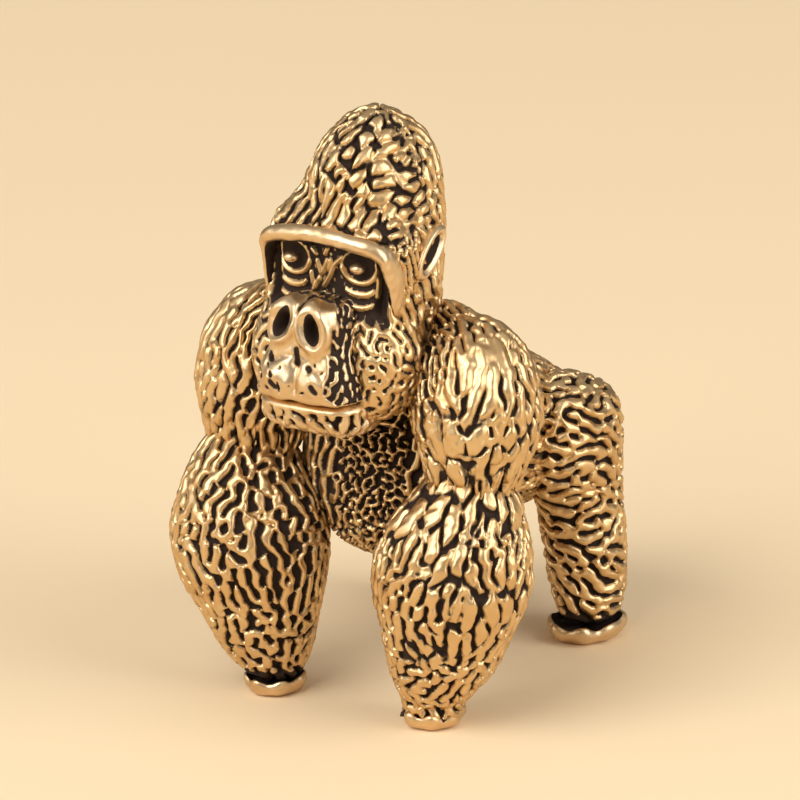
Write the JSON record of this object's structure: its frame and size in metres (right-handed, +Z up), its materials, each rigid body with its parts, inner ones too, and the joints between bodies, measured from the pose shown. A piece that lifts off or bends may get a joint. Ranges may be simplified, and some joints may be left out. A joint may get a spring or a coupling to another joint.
{
  "type": "gorilla figurine",
  "caption": "Cast-brass gorilla figurine standing on its knuckles and feet, with furrowed fur, a smooth brow bar and a bare muzzle; rests on a flat surface as an ornament.",
  "frame": {"origin": "on the ground, under the middle of the figure's box", "axes": "+Z up, the face looks along -Y, the figure's left side is +X"},
  "size_m": [0.0264, 0.0328, 0.0417],
  "materials": {
    "antiqued_brass": "cast brass, dark brown patina in the fur grooves, ridges rubbed bright",
    "polished_brass": "cast brass, rubbed smooth and bright, with dark patina left in the creases"
  },
  "bodies": {
    "root": {"torso": "antiqued_brass", "head": "antiqued_brass", "muzzle": "polished_brass", "lower_jaw": "polished_brass", "brow_ridge": "polished_brass", "left_eye": "polished_brass", "right_eye": "polished_brass", "left_ear": "polished_brass", "right_ear": "polished_brass", "left_upper_arm": "antiqued_brass", "right_upper_arm": "antiqued_brass", "left_forearm": "antiqued_brass", "right_forearm": "antiqued_brass", "left_hand": "polished_brass", "right_hand": "polished_brass", "left_leg": "antiqued_brass", "right_leg": "antiqued_brass", "left_foot": "polished_brass", "right_foot": "polished_brass"}
  },
  "joints": []
}
